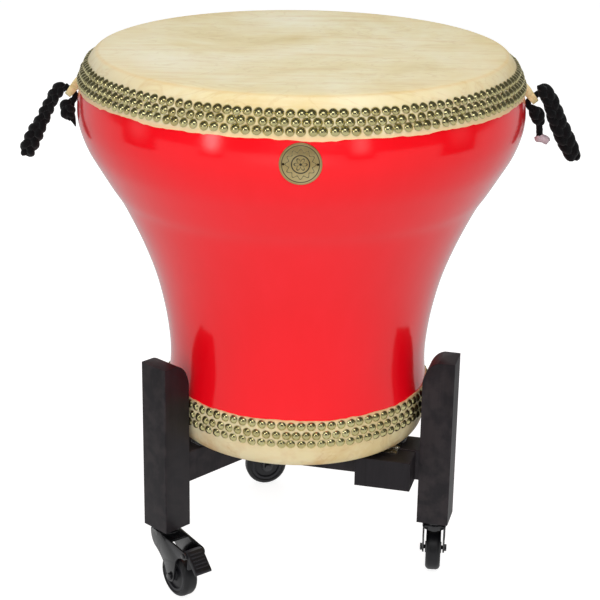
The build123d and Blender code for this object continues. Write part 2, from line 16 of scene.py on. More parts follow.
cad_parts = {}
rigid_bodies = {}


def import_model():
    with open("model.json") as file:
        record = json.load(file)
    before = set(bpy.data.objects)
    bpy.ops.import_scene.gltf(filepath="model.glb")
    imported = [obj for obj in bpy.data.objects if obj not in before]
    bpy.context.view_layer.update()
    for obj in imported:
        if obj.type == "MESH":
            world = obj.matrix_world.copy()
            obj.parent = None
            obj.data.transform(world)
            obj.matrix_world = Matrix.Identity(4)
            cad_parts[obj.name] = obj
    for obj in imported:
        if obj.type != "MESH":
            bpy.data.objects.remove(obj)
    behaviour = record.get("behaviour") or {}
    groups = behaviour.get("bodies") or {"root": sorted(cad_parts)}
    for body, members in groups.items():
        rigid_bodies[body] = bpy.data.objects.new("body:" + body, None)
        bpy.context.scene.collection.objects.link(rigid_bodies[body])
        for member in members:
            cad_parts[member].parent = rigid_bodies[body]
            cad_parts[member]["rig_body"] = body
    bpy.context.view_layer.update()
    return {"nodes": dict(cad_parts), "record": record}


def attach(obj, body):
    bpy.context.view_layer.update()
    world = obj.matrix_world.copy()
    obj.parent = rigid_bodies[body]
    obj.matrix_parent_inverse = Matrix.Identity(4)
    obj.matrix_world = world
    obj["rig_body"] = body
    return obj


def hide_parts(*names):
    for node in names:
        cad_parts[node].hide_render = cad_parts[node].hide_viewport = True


for old in list(bpy.data.objects):
    bpy.data.objects.remove(old)
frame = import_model()
NODES = frame["nodes"]
scene = bpy.context.scene
MM = 0.001

# ------------------------------------------------------------------ driving dimensions (mm)
# Outer side of the top head: (radius, z) from the flat down to the trimmed edge
TOP_OUT = [(265.5, 733.0), (271.0, 730.4), (277.4, 723.2), (284.0, 712.5), (289.0, 701.5),
           (292.5, 690.5), (293.8, 685.0)]
# Outer side of the shell between the heads: (radius, z), downwards
SHELL = [(295.2, 668.0), (296.0, 650.0), (293.2, 632.0), (284.6, 608.0), (270.4, 582.6),
         (254.6, 556.0), (239.0, 531.0), (215.2, 480.0), (196.4, 429.0), (184.2, 378.0),
         (178.2, 335.0), (177.0, 305.0)]
# Outer side of the bottom head: (radius, z) from the trimmed edge down to the flat
LOW_OUT = [(180.7, 277.0), (182.1, 264.5), (182.6, 252.0), (181.7, 240.0), (179.6, 229.0),
           (176.4, 218.6), (171.8, 211.0), (166.2, 207.0)]
# Inner wall of the shell: (radius, z), upwards
WALL = [(151.0, 208.6), (154.0, 215.0), (160.0, 235.0), (161.2, 252.0), (159.6, 277.0),
        (157.8, 305.0), (158.8, 335.0), (164.6, 378.0), (176.6, 429.0), (195.2, 480.0),
        (219.0, 531.0), (234.6, 556.0), (250.4, 582.6), (265.0, 608.0), (273.4, 632.0),
        (276.0, 650.0), (274.5, 672.0), (270.0, 695.0), (262.0, 712.0), (248.0, 728.0),
        (248.0, 731.4)]
HIDE_THICK = 1.6
TOP_Z = TOP_OUT[0][1]
TOP_EDGE_Z = TOP_OUT[-1][1]
LOW_EDGE_Z = LOW_OUT[0][1]
BOTTOM_Z = LOW_OUT[-1][1]
TOP_INNER_Z = TOP_Z - HIDE_THICK
BOTTOM_INNER_Z = BOTTOM_Z + HIDE_THICK
BADGE_Z = 657.0


# ------------------------------------------------------------------ curves and noise
def wave_noise(x, seed, octaves, base):
    """Smooth sum of sines with seeded phases; it repeats every 2*pi in x."""
    rng = np.random.default_rng(seed)
    out = np.zeros_like(x, dtype=float)
    height = 1.0
    for _ in range(octaves):
        for k in range(3):
            phase = rng.uniform(0, 2 * math.pi)
            out += height * np.sin(round(base * (1 + 0.37 * k)) * x + phase) / 3
        height *= 0.55
        base *= 2.1
    return out


def catmull(points, per):
    """Catmull-Rom curve through the points, with `per` steps to each span."""
    p = np.array(points, float)
    p = np.vstack([2 * p[0] - p[1], p, 2 * p[-1] - p[-2]])
    out = []
    for i in range(1, len(p) - 2):
        before, start, end, after = p[i - 1:i + 3]
        for k in range(per):
            t = k / per
            out.append(0.5 * (2 * start + (end - before) * t
                              + (2 * before - 5 * start + 4 * end - after) * t * t
                              + (3 * start - before - 3 * end + after) * t ** 3))
    out.append(p[-2])
    return np.array(out)


def tangents(points):
    along = np.gradient(points, axis=0)
    return along / np.linalg.norm(along, axis=1)[:, None]


def normals(points):
    """Unit normals of a flat curve, on the left of its direction."""
    along = tangents(points)
    return np.stack([-along[:, 1], along[:, 0]], 1)


def circle(count):
    return np.linspace(0, 2 * math.pi, count, endpoint=False)


# ------------------------------------------------------------------ mesh helpers
def ring_faces(rings, count, start=0, closed=False):
    """Quads between neighbouring rings of `count` vertices; closed joins the last to the first."""
    faces = []
    for i in range(rings if closed else rings - 1):
        near = start + i * count
        far = start + (i + 1) % rings * count
        for k in range(count):
            nxt = (k + 1) % count
            faces.append((near + k, far + k, far + nxt, near + nxt))
    return faces


def end_fans(rings, count):
    """Fans from the first and last ring to two centre vertices that follow all the rings."""
    faces = []
    first = rings * count
    last_ring = first - count
    for k in range(count):
        nxt = (k + 1) % count
        faces.append((first, k, nxt))
        faces.append((first + 1, last_ring + nxt, last_ring + k))
    return faces


def end_polygons(rings, count):
    """One polygon over the first ring and one over the last."""
    total = rings * count
    return [tuple(range(count)), tuple(range(total - count, total))[::-1]]


def join(parts):
    """Join (vertices, faces) pairs into one pair."""
    verts, faces, start = [], [], 0
    for part_verts, part_faces in parts:
        verts.append(part_verts)
        faces += [tuple(start + i for i in face) for face in part_faces]
        start += len(part_verts)
    return np.vstack(verts), faces


def face_outward(mesh):
    bm = bmesh.new()
    bm.from_mesh(mesh)
    bmesh.ops.recalc_face_normals(bm, faces=bm.faces)
    bm.to_mesh(mesh)
    bm.free()


def add_piece(name, verts, faces, finish, *, part, slot, body="drum", sharp=None,
              outward=True, attributes=None):
    """Edges over `sharp` degrees stay crisp; attributes maps a name to one value per vertex.
    """
    mesh = bpy.data.meshes.new(name)
    mesh.from_pydata((verts * MM).tolist(), [], faces)
    mesh.validate()
    mesh.polygons.foreach_set("use_smooth", [True] * len(mesh.polygons))
    if sharp:
        mesh.set_sharp_from_angle(angle=math.radians(sharp))
    mesh.materials.append(MATERIALS[finish])
    ob = bpy.data.objects.new(name, mesh)
    scene.collection.objects.link(ob)
    if outward:
        face_outward(mesh)
    for key, values in (attributes or {}).items():
        layer = mesh.attributes.new(key, "FLOAT", "POINT")
        layer.data.foreach_set("value", np.array(values, np.float32))
    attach(ob, body)
    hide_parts(part)


def lathe(name, profile, count, finish, shift=None, **told):
    """Revolve a (radius, z) profile that starts and ends on the axis, or closes on itself."""
    on_axis = profile[0, 0] < 1e-6 and profile[-1, 0] < 1e-6
    rings = profile[1:-1] if on_axis else profile
    angles = circle(count)
    verts = []
    for r, z in rings:
        dr, dz = shift(r, z, angles) if shift else (0, 0)
        verts.append(np.stack([(r + dr) * np.cos(angles), (r + dr) * np.sin(angles),
                               np.full(count, z + dz)], 1))
    faces = ring_faces(len(rings), count, closed=not on_axis)
    if on_axis:
        verts.append([[0, 0, profile[0, 1]], [0, 0, profile[-1, 1]]])
        faces += end_fans(len(rings), count)
    add_piece(name, np.vstack(verts), faces, finish, sharp=50, **told)


# ------------------------------------------------------------------ shader helpers
MATERIALS = {}


def srgb(*rgb):
    """Linear RGBA from 0-255 sRGB values."""
    out = []
    for c in rgb:
        c /= 255.0
        out.append(c / 12.92 if c <= 0.04045 else ((c + 0.055) / 1.055) ** 2.4)
    return (*out, 1.0)


def empty_tree(owner):
    owner.use_nodes = True
    owner.node_tree.nodes.clear()
    return owner.node_tree


def put(tree, socket, value):
    """Link a socket to an input, or store a plain value in it; None leaves it alone."""
    if isinstance(value, bpy.types.NodeSocket):
        tree.links.new(value, socket)
    elif value is not None:
        socket.default_value = value


def add_node(tree, kind, inputs=None, **settings):
    node = tree.nodes.new("ShaderNode" + kind)
    for key, value in settings.items():
        setattr(node, key, value)
    for key, value in (inputs or {}).items():
        put(tree, node.inputs[key], value)
    return node


class Material:
    """A new material and short ways to build its graph; most methods return a socket."""

    def __init__(self, name, kind="BsdfPrincipled"):
        self.material = bpy.data.materials.new(name)
        self.tree = empty_tree(self.material)
        self.surface = self.node(kind)
        self.node("OutputMaterial", {"Surface": self.surface.outputs[0]})
        self.position = self.node("TexCoord").outputs["Object"]
        MATERIALS[name] = self.material

    def node(self, kind, inputs=None, **settings):
        return add_node(self.tree, kind, inputs, **settings)

    def mapping(self, scale=(1, 1, 1), rot=(0, 0, 0), loc=(0, 0, 0)):
        return self.node("Mapping", {"Vector": self.position, "Scale": scale,
                                     "Rotation": rot, "Location": loc}).outputs[0]

    def noise(self, scale, detail=4, rough=0.55, warp=0.0, at=None):
        return self.node("TexNoise", {"Scale": scale, "Detail": detail, "Roughness": rough,
                                      "Distortion": warp,
                                      "Vector": at or self.position}).outputs["Fac"]

    def voronoi(self, scale):
        return self.node("TexVoronoi", {"Scale": scale,
                                        "Vector": self.position}).outputs["Distance"]

    def ramp(self, fac, stops):
        node = self.node("ValToRGB", {0: fac})
        elements = node.color_ramp.elements
        while len(elements) < len(stops):
            elements.new(0.5)
        for element, (position, color) in zip(elements, stops):
            element.position = position
            element.color = color
        return node.outputs[0]

    def remap(self, value, span, to=(0.0, 1.0), smooth=False):
        """Carry the range `span` to the range `to`."""
        return self.node("MapRange", dict(enumerate((value, *span, *to))),
                         interpolation_type="SMOOTHSTEP" if smooth else "LINEAR").outputs[0]

    def math(self, operation, a, b=None):
        return self.node("Math", {0: a, 1: b}, operation=operation).outputs[0]

    def times(self, a, b):
        return self.math("MULTIPLY", a, b)

    def distance(self, a, b):
        squares = [self.math("POWER", side, 2.0) for side in (a, b)]
        return self.math("SQRT", self.math("ADD", *squares))

    def mix(self, fac, a, b):
        return self.node("Mix", {0: fac, 6: a, 7: b}, data_type="RGBA").outputs[2]

    def xyz(self):
        return tuple(self.node("SeparateXYZ", {0: self.position}).outputs)

    def bump(self, height, strength, depth, over=None):
        return self.node("Bump", {"Strength": strength, "Distance": depth, "Height": height,
                                  "Normal": over}).outputs[0]

    def pointiness(self):
        return self.node("NewGeometry").outputs["Pointiness"]

    def attr(self, name):
        return self.node("Attribute", attribute_name=name).outputs["Fac"]

    def set(self, **inputs):
        """Set inputs of the surface shader, with _ for each space in a name."""
        for key, value in inputs.items():
            put(self.tree, self.surface.inputs[key.replace("_", " ")], value)


# ------------------------------------------------------------------ materials
def make_lacquer():
    """Red under a clear coat, with faint upright streaks, pale specks and orange peel."""
    mat = Material("red_lacquer")
    streak = mat.noise(scale=1.0, detail=5, rough=0.6, at=mat.mapping(scale=(40, 40, 3.0)))
    cloud = mat.noise(scale=5.0, detail=3, rough=0.5)
    color = mat.mix(mat.remap(cloud, span=(0.3, 0.7)), srgb(250, 6, 26), srgb(244, 4, 20))
    color = mat.mix(mat.remap(streak, span=(0.45, 0.75), to=(0.0, 0.35)), color,
                    srgb(252, 14, 34))
    dust = mat.remap(mat.voronoi(scale=210.0), span=(0.0, 0.05), to=(0.35, 0.0))
    patches = mat.remap(mat.noise(scale=30, detail=2), span=(0.55, 0.7))
    color = mat.mix(mat.times(dust, patches), color, srgb(250, 120, 130))
    peel = mat.bump(mat.noise(scale=260.0, detail=2, rough=0.5), strength=0.05, depth=0.0004)
    normal = mat.bump(mat.noise(scale=9.0, detail=2, rough=0.5), strength=0.12, depth=0.004,
                      over=peel)
    mat.set(Base_Color=color, Normal=normal, Specular_IOR_Level=0.05,
            Roughness=mat.remap(cloud, span=(0.3, 0.7), to=(0.30, 0.38)),
            Coat_Weight=1.0, Coat_Roughness=0.13, Coat_IOR=1.5, Coat_Normal=normal)


def mark_top_hide(mat, color):
    """Darken the hide towards the rim and along the bend, and warm its trimmed edge."""
    x, y, z = mat.xyz()
    r = mat.distance(x, y)
    uneven = mat.math("SUBTRACT", mat.noise(scale=14, detail=4, rough=0.6), 0.5)
    rim = mat.remap(mat.math("ADD", r, mat.times(uneven, 0.03)), span=(0.205, 0.262),
                    to=(0.0, 0.22), smooth=True)
    color = mat.mix(rim, color, srgb(222, 188, 112))
    off_bend = mat.math("ABSOLUTE", mat.math("SUBTRACT", r, 0.2685))
    crease = mat.remap(off_bend, span=(0.0, 0.004), to=(0.25, 0.0), smooth=True)
    color = mat.mix(crease, color, srgb(226, 180, 100))
    edge_z = TOP_EDGE_Z * MM
    edge = mat.remap(z, span=(edge_z + 0.001, edge_z + 0.006), to=(0.85, 0.0))
    return mat.mix(edge, color, srgb(240, 196, 150))


def mark_low_hide(mat, color):
    """Brown stains, strongest low down, and a warm trimmed edge."""
    z = mat.xyz()[2]
    stain = mat.times(mat.remap(mat.noise(scale=16, detail=4, rough=0.6), span=(0.52, 0.66)),
                      mat.remap(z, span=(0.205, 0.236), to=(1.0, 0.15)))
    color = mat.mix(mat.times(stain, 0.75), color, srgb(196, 138, 62))
    edge_z = LOW_EDGE_Z * MM
    edge = mat.remap(z, span=(edge_z - 0.005, edge_z - 0.0008), to=(0.0, 0.85))
    return mat.mix(edge, color, srgb(236, 190, 140))


def make_rawhide(name, green_gain, blue_gain, add_marks):
    """Cloudy, streaked and veined hide; the gains tint its base colours."""
    mat = Material(name)

    def hide(*rgb):
        red, green, blue, alpha = srgb(*rgb)
        return red, min(green * green_gain, 1.0), min(blue * blue_gain, 1.0), alpha

    cloud = mat.noise(scale=5.5, detail=5, rough=0.62, warp=0.4,
                      at=mat.mapping(rot=(0, 0, 0.35)))
    pale = mat.noise(scale=2.3, detail=3, rough=0.5, warp=0.8, at=mat.mapping(loc=(3, 1, 5)))
    streak = mat.noise(scale=1.0, detail=6, rough=0.62, warp=0.9,
                       at=mat.mapping(scale=(4.0, 38.0, 30.0), rot=(0, 0, 0.12)))
    vein = mat.noise(scale=1.0, detail=4, rough=0.5, warp=2.2,
                     at=mat.mapping(scale=(6.0, 16.0, 10.0), rot=(0, 0, -0.25)))
    vein = mat.remap(mat.math("ABSOLUTE", mat.math("SUBTRACT", vein, 0.5)),
                     span=(0.0, 0.022), to=(1.0, 0.0))
    color = mat.ramp(cloud, [(0.28, hide(212, 186, 130)), (0.45, hide(228, 208, 162)),
                             (0.62, hide(237, 223, 188)), (0.8, hide(243, 233, 206))])
    color = mat.mix(mat.remap(pale, span=(0.42, 0.68), to=(0.0, 0.55)), color,
                    srgb(240, 232, 208))
    color = mat.mix(mat.remap(streak, span=(0.50, 0.72), to=(0.0, 0.40)), color,
                    srgb(214, 180, 118))
    color = mat.mix(mat.times(vein, 0.20), color, srgb(190, 150, 96))
    color = add_marks(mat, color)
    grain = mat.math("ADD", mat.times(mat.noise(scale=120, detail=5, rough=0.6), 0.6),
                     mat.times(mat.voronoi(scale=900.0), 0.25))
    swell = mat.math("ADD", mat.times(streak, 0.6), mat.times(cloud, 0.7))
    normal = mat.bump(swell, strength=0.18, depth=0.004,
                      over=mat.bump(grain, strength=0.16, depth=0.0006))
    mat.set(Base_Color=color, Normal=normal, Specular_IOR_Level=0.35,
            Roughness=mat.remap(cloud, span=(0.3, 0.75), to=(0.62, 0.46)),
            Subsurface_Weight=0.12, Subsurface_Radius=(0.006, 0.0035, 0.0015),
            Subsurface_Scale=0.6)


def make_tack_brass():
    """Brass with a tone for each tack, and rims that are rougher and darkened with painted shade,
    read from the mesh attributes.
    """
    mat = Material("tack_brass")
    rough = 0.17
    cloud = mat.noise(scale=38.0, detail=4, rough=0.6)
    color = mat.mix(mat.remap(cloud, span=(0.35, 0.7)), srgb(240, 232, 175),
                    srgb(222, 212, 150))
    color = mat.mix(mat.times(mat.attr("tone"), 0.35), color, srgb(190, 160, 86))
    rim = mat.attr("rim")
    # painted shade: the rim darkens towards dark brown where the gap under the tack lies in shadow
    color = mat.mix(mat.times(rim, 0.72), color, srgb(84, 66, 22))
    roughness = mat.math("ADD", mat.remap(cloud, span=(0.3, 0.7),
                                          to=(rough * 0.75, rough * 1.5)),
                         mat.times(rim, 0.25))
    fine = mat.noise(scale=900.0, detail=3, rough=0.6)
    mat.set(Base_Color=color, Metallic=1.0, Roughness=roughness,
            Normal=mat.bump(fine, strength=0.05, depth=0.0002))


def make_badge_brass():
    """Brushed brass, darker at the rim, with its dark lines from the ink attribute."""
    mat = Material("badge_brass")
    x, _, z = mat.xyz()
    r_mm = mat.times(mat.distance(x, mat.math("SUBTRACT", z, BADGE_Z * MM)), 1000.0)
    ink = mat.attr("ink")
    brush = mat.noise(scale=1.0, detail=4, rough=0.6, at=mat.mapping(scale=(40, 40, 1400)))
    cloud = mat.noise(scale=60)
    color = mat.mix(mat.remap(cloud, span=(0.35, 0.7)), srgb(214, 188, 128),
                    srgb(232, 214, 160))
    color = mat.mix(mat.remap(r_mm, span=(23.4, 25.4), to=(0.0, 0.5)), color,
                    srgb(150, 118, 58))
    color = mat.mix(ink, color, srgb(38, 30, 22))
    mat.set(Base_Color=color, Metallic=mat.math("SUBTRACT", 1.0, mat.times(ink, 0.7)),
            Roughness=mat.remap(brush, span=(0.3, 0.7), to=(0.30, 0.42)),
            Normal=mat.bump(brush, strength=0.04, depth=0.0002))


def make_black_wood():
    """Near-black wood with upright grain and patchy wear on its edges."""
    mat = Material("black_wood")
    grain = mat.noise(scale=1.0, detail=6, rough=0.65, warp=1.2,
                      at=mat.mapping(scale=(110, 110, 9)))
    pores = mat.noise(scale=1.0, detail=3, rough=0.7, warp=0.2,
                      at=mat.mapping(scale=(420, 420, 22)))
    cloud = mat.noise(scale=9, detail=3)
    color = mat.mix(mat.remap(grain, span=(0.35, 0.68)), srgb(22, 19, 22), srgb(34, 30, 34))
    color = mat.mix(mat.remap(cloud, span=(0.4, 0.7), to=(0.0, 0.5)), color,
                    srgb(28, 24, 28))
    wear = mat.remap(mat.pointiness(), span=(0.53, 0.60), to=(0.0, 0.5))
    patches = mat.remap(mat.noise(scale=50, detail=3), span=(0.4, 0.6))
    color = mat.mix(mat.times(wear, patches), color, srgb(96, 84, 84))
    normal = mat.bump(pores, strength=0.10, depth=0.0004,
                      over=mat.bump(grain, strength=0.10, depth=0.0008))
    mat.set(Base_Color=color, Normal=normal, Specular_IOR_Level=0.3,
            Roughness=mat.remap(grain, span=(0.3, 0.7), to=(0.42, 0.54)),
            Coat_Weight=0.05, Coat_Roughness=0.35)


def make_rope():
    mat = Material("rope")
    fibre = mat.noise(scale=700, detail=4, rough=0.7, warp=0.5)
    yarn = mat.noise(scale=260, detail=3, rough=0.6, warp=1.5)
    normal = mat.bump(yarn, strength=0.5, depth=0.0014,
                      over=mat.bump(fibre, strength=0.5, depth=0.0008))
    mat.set(Base_Color=mat.mix(mat.remap(yarn, span=(0.35, 0.7)), srgb(5, 5, 6),
                               srgb(15, 15, 17)),
            Roughness=0.92, Normal=normal, Sheen_Weight=0.12, Sheen_Roughness=0.5,
            Specular_IOR_Level=0.2)


def make_strap_hide():
    mat = Material("tab_rawhide")
    color = mat.ramp(mat.noise(scale=60, detail=5, rough=0.6),
                     [(0.3, srgb(190, 165, 105)), (0.5, srgb(222, 204, 150)),
                      (0.7, srgb(238, 224, 180))])
    color = mat.mix(mat.remap(mat.pointiness(), span=(0.5, 0.58), to=(0.0, 0.7)), color,
                    srgb(236, 214, 168))
    fine = mat.noise(scale=400, detail=4, rough=0.6)
    mat.set(Base_Color=color, Roughness=0.55,
            Normal=mat.bump(fine, strength=0.25, depth=0.0006),
            Subsurface_Weight=0.1, Subsurface_Radius=(0.003, 0.0015, 0.0008))


def make_felt():
    mat = Material("felt")
    fuzz = mat.noise(scale=900, detail=4, rough=0.8)
    mat.set(Base_Color=mat.mix(fuzz, srgb(22, 22, 24), srgb(58, 58, 60)), Roughness=0.98,
            Normal=mat.bump(fuzz, strength=0.8, depth=0.0012), Sheen_Weight=0.4)


def make_tape():
    """Pale pink tape with slanting dark bands."""
    mat = Material("tie_tape")
    bands = mat.node("TexWave", {"Scale": 260, "Distortion": 1.5, "Detail": 2,
                                 "Detail Scale": 1.0,
                                 "Vector": mat.mapping(rot=(0.2, 0.5, 0.0))},
                     bands_direction="Z").outputs["Fac"]
    color = mat.mix(mat.noise(scale=120), srgb(196, 168, 176), srgb(228, 206, 212))
    color = mat.mix(mat.remap(bands, span=(0.62, 0.85), to=(0.0, 0.75)), color,
                    srgb(62, 50, 58))
    mat.set(Base_Color=color, Roughness=0.5,
            Normal=mat.bump(bands, strength=0.4, depth=0.0005))


# Name, two sRGB tones, roughness, metallic, scale of the tone clouds, scale and strength of
# the fine bump, sRGB of worn edges (or None), clear coat
PLAIN_FINISHES = [
    ("bare_wood", (196, 160, 112), (172, 134, 88), 0.7, 0.0, 30, 500, 0.12, None, 0.0),
    ("steel", (196, 192, 182), (170, 166, 156), 0.26, 1.0, 90, 900, 0.06, None, 0.0),
    ("black_steel", (10, 10, 12), (18, 18, 20), 0.24, 0.0, 70, 700, 0.05, (60, 60, 64), 0.6),
    ("bright_steel", (214, 214, 216), (184, 184, 188), 0.16, 1.0, 60, 900, 0.04, None, 0.0),
    ("wheel_plastic", (18, 18, 21), (26, 26, 30), 0.34, 0.0, 80, 700, 0.1, (66, 66, 72), 0.0),
    ("tyre_rubber", (14, 14, 16), (23, 23, 26), 0.42, 0.0, 45, 500, 0.22, None, 0.0),
    ("brake_plastic", (16, 16, 18), (25, 25, 28), 0.36, 0.0, 80, 600, 0.14, (70, 70, 76), 0.0),
    ("pin_dark", (72, 52, 26), (46, 34, 18), 0.3, 1.0, 300, 900, 0.1, None, 0.0),
]


def make_plain(name, tone, other_tone, rough, metallic, cloud_scale, fine_scale, fine_strength,
               worn, coat):
    mat = Material(name)
    cloud = mat.noise(scale=cloud_scale, detail=4, rough=0.6)
    fine = mat.noise(scale=fine_scale, detail=3, rough=0.6)
    color = mat.mix(mat.remap(cloud, span=(0.35, 0.68)), srgb(*tone), srgb(*other_tone))
    if worn:
        wear = mat.remap(mat.pointiness(), span=(0.52, 0.6), to=(0.0, 0.6))
        color = mat.mix(wear, color, srgb(*worn))
    mat.set(Base_Color=color, Metallic=metallic, Coat_Weight=coat,
            Roughness=mat.remap(cloud, span=(0.3, 0.7),
                                to=(rough * 0.85, min(rough * 1.15, 1.0))),
            Normal=mat.bump(fine, strength=fine_strength, depth=0.0003))


make_lacquer()
make_rawhide("rawhide_top", green_gain=1.07, blue_gain=1.12, add_marks=mark_top_hide)
make_rawhide("rawhide_low", green_gain=0.97, blue_gain=0.86, add_marks=mark_low_hide)
make_tack_brass()
make_badge_brass()
make_black_wood()
make_rope()
make_strap_hide()
make_felt()
make_tape()
for finish_row in PLAIN_FINISHES:
    make_plain(*finish_row)

# ------------------------------------------------------------------ drum shell and heads
# Radii of the rings across the flat of each head
TOP_FLAT = (20, 45, 70, 95, 120, 145, 170, 195, 218, 238, 253)
LOW_FLAT = (30, 60, 90, 120, 145, 158)
HIDE_GAP = 0.02  # between the shell and the heads over it
EDGE_REACH = 7.0  # height over which a trimmed edge's unevenness fades

top_out = catmull(TOP_OUT, 5)
low_out = catmull(LOW_OUT, 5)
top_in = top_out - normals(top_out) * HIDE_THICK
low_in = low_out - normals(low_out) * HIDE_THICK
# Square the ends of the inner sides with the flats and the trimmed edges
top_in[0] = (top_out[0][0], TOP_INNER_Z)
top_in[-1][1] = TOP_EDGE_Z
low_in[0][1] = LOW_EDGE_Z
low_in[-1] = (low_out[-1][0], BOTTOM_INNER_Z)


def add_shell():
    """Lacquered shell; its ends follow the inner sides of the heads."""
    outer = catmull(np.vstack([top_in[::2], SHELL, low_in[::2]]), 5)
    outer[:, 0] -= HIDE_GAP
    lathe("shell_lacquered", np.vstack([outer, catmull(WALL, 3)]), 256, "red_lacquer",
          part="shell", slot="red_lacquer")


def flat(radii, z):
    return [(r, z) for r in (0, *radii)]


def top_shift(r, z, angles):
    """Slow waviness of the flat and an uneven trimmed edge."""
    dr = np.zeros_like(angles)
    dz = np.zeros_like(angles)
    if z > 730 and r < 262:
        waves = wave_noise(angles + r * 0.004, seed=11, octaves=3, base=2.0)
        dz += 0.22 * min(1.0, r / 60.0) * waves * min(1.0, (262 - r) / 40)
    if abs(z - TOP_EDGE_Z) < 0.01 or (684 < z < 692 and r > 288):
        near = max(0.0, 1 - (z - TOP_EDGE_Z) / EDGE_REACH)
        dz += near * (1.5 * wave_noise(angles, seed=5, octaves=4, base=9.0)
                      + 0.6 * wave_noise(angles, seed=6, octaves=2, base=60.0))
        if r > 292.6:
            dr += 0.25 * near * (1 + wave_noise(angles, seed=8, octaves=3, base=14.0))
    return dr, dz


def low_shift(r, z, angles):
    """Uneven trimmed edge and slight waviness round the lower bend."""
    dr = np.zeros_like(angles)
    dz = np.zeros_like(angles)
    if z > 270 and r > 170:
        near = max(0.0, 1 - (LOW_EDGE_Z - z) / EDGE_REACH)
        dz += near * (1.1 * wave_noise(angles, seed=25, octaves=4, base=7.0)
                      + 0.4 * wave_noise(angles, seed=26, octaves=2, base=40.0))
    if z < 240 and r > 170:
        dr += 0.12 * wave_noise(angles, seed=28, octaves=3, base=6.0)
    return dr, dz


def add_heads():
    top = np.vstack([flat(TOP_FLAT, TOP_Z), top_out, top_in[::-1],
                     flat(TOP_FLAT, TOP_INNER_Z)[::-1]])
    lathe("top_head", top, 360, "rawhide_top", top_shift, part="top_head_skin",
          slot="rawhide")
    low = np.vstack([flat(LOW_FLAT, BOTTOM_INNER_Z), low_in[::-1], low_out,
                     flat(LOW_FLAT, BOTTOM_Z)[::-1]])
    lathe("bottom_head", low, 256, "rawhide_low", low_shift, part="bottom_head_skin",
          slot="rawhide")


add_shell()
add_heads()

# ------------------------------------------------------------------ tacks
TACK_R, TACK_H = 6.0, 3.7
# Rows of tacks, downwards: (radius, z, upward tilt in degrees)
TOP_TACK_ROWS = [(282.9, 714.6, 31.0), (287.8, 704.9, 25.5), (291.4, 695.0, 18.5)]
LOW_TACK_ROWS = [(181.7, 270.0, 5.5), (182.6, 256.8, 1.5), (182.3, 244.4, -4.5)]


def tack_mesh():
    """Domed tack with a rolled rim and tapered shank along +Z: vertices, faces, and rim weights
    for the painted shade under the rim.
    """
    count = 20
    ball = (TACK_R ** 2 + TACK_H ** 2) / (2 * TACK_H)
    half_angle = math.asin((TACK_R - 0.25) / ball)
    profile = []
    for k in range(9):
        a = k / 8 * half_angle
        profile.append((ball * math.sin(a), TACK_H - ball * (1 - math.cos(a)) + 0.12))
    # rim, underside and shank
    profile += [(TACK_R, 0.42), (TACK_R - 0.05, 0.05), (TACK_R - 0.5, -0.12), (1.1, -0.12),
                (0.9, -7.0), (0.0, -9.0)]
    verts = [(0, 0, profile[0][1])]
    rim = [0.0]
    for r, z in profile[1:-1]:
        for a in circle(count):
            verts.append((r * math.cos(a), r * math.sin(a), z))
            # weights of painted shade: full under the rim and on the shank, part on the rolled
            # edge
            rim.append(1.0 if z < 0.3 else (0.45 if z < 0.8 else 0.0))
    verts.append((0, 0, profile[-1][1]))
    rim.append(1.0)
    rings = len(profile) - 2
    tip = len(verts) - 1
    last = tip - count
    faces = [(0, 1 + k, 1 + (k + 1) % count) for k in range(count)]
    faces += ring_faces(rings, count, start=1)
    faces += [(tip, last + (k + 1) % count, last + k) for k in range(count)]
    return np.array(verts), faces, rim


TACK_VERTS, TACK_FACES, TACK_RIM_SHADE = tack_mesh()


def placed_tack(rng, r, z, tilt, angle):
    """Vertices of one tack at an angle round the drum, with slight errors in aim and size."""
    a = angle + rng.normal(0, 0.0016)
    rise = math.radians(tilt + rng.normal(0, 2.2))
    turn = a + math.radians(rng.normal(0, 2.2))
    outward = np.array([math.cos(rise) * math.cos(turn), math.cos(rise) * math.sin(turn),
                        math.sin(rise)])
    side = np.array([-math.sin(turn), math.cos(turn), 0])
    up = np.cross(outward, side)
    spin = rng.uniform(0, 6.28)
    c, s = math.cos(spin), math.sin(spin)
    size = 1 + rng.normal(0, 0.012)
    base = np.array([r * math.cos(a), r * math.sin(a), z + rng.normal(0, 0.28)])
    p = TACK_VERTS * np.array([size, size, 1 + rng.normal(0, 0.03)])
    p = np.stack([p[:, 0] * c - p[:, 1] * s, p[:, 0] * s + p[:, 1] * c, p[:, 2]], 1)
    # shallow dents in the dome
    dents = np.sin(p[:, 0] * rng.uniform(0.5, 1.2) + rng.uniform(0, 6))
    p[:, 2] += 0.05 * dents * (p[:, 2] > 0.9)
    return base + p[:, :1] * side + p[:, 1:2] * up + p[:, 2:3] * outward


def add_tacks(name, part, rows, per_row, seed):
    """A band of tack rows, every other row staggered by half a pitch."""
    rng = np.random.default_rng(seed)
    tacks, tone = [], []
    for row, (r, z, tilt) in enumerate(rows):
        for i in range(per_row):
            angle = 2 * math.pi * (i + 0.5 * (row % 2)) / per_row
            tacks.append((placed_tack(rng, r, z, tilt, angle), TACK_FACES))
            tone += [float(np.clip(rng.normal(0.25, 0.3), 0, 1))] * len(TACK_VERTS)
    # the rim weights carry the painted shade under each tack's rim
    add_piece(name, *join(tacks), "tack_brass", sharp=60, outward=False, part=part,
              slot="tack_brass", attributes={"rim": TACK_RIM_SHADE * len(tacks), "tone": tone})


add_tacks("top_tack_rows", "top_tacks", TOP_TACK_ROWS, per_row=140, seed=3)
add_tacks("bottom_tack_rows", "bottom_tacks", LOW_TACK_ROWS, per_row=86, seed=4)

# ------------------------------------------------------------------ badge
BADGE_R = 25.5
# Shell line behind the badge: (radius, z)
BADGE_WALL = np.vstack([[(293.2, 684.0)], catmull(SHELL[:6], 12)])
BADGE_WALL = BADGE_WALL[np.argsort(BADGE_WALL[:, 1])]


